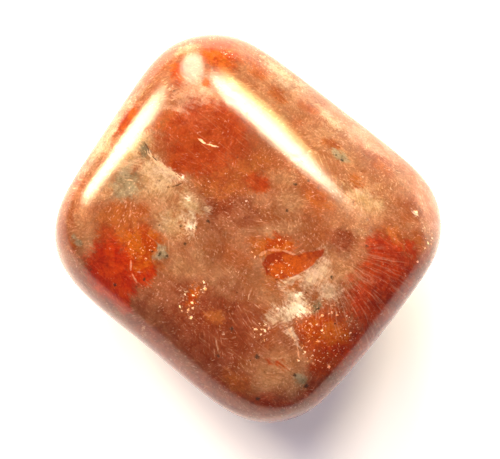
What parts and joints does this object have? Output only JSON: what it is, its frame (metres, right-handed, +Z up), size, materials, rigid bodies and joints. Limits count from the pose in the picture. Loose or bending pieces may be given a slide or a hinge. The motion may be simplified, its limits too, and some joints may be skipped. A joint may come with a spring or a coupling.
{
  "type": "tumbled sunstone",
  "caption": "Polished tumbled pebble of sunstone feldspar, a rounded block that lies on its flattest side.",
  "frame": {"origin": "on the surface that the pebble lies on, under the middle of its outline seen from above", "axes": "+X along the pebble's longest extent, +Y across it towards the broad sloping shoulder, +Z up"},
  "size_m": [0.0248, 0.0222, 0.0154],
  "materials": {
    "feldspar": "tumbled to a high polish, translucent peach-orange with red and milky zones and metallic flecks"
  },
  "bodies": {
    "root": {"sunstone": "feldspar"}
  },
  "joints": []
}
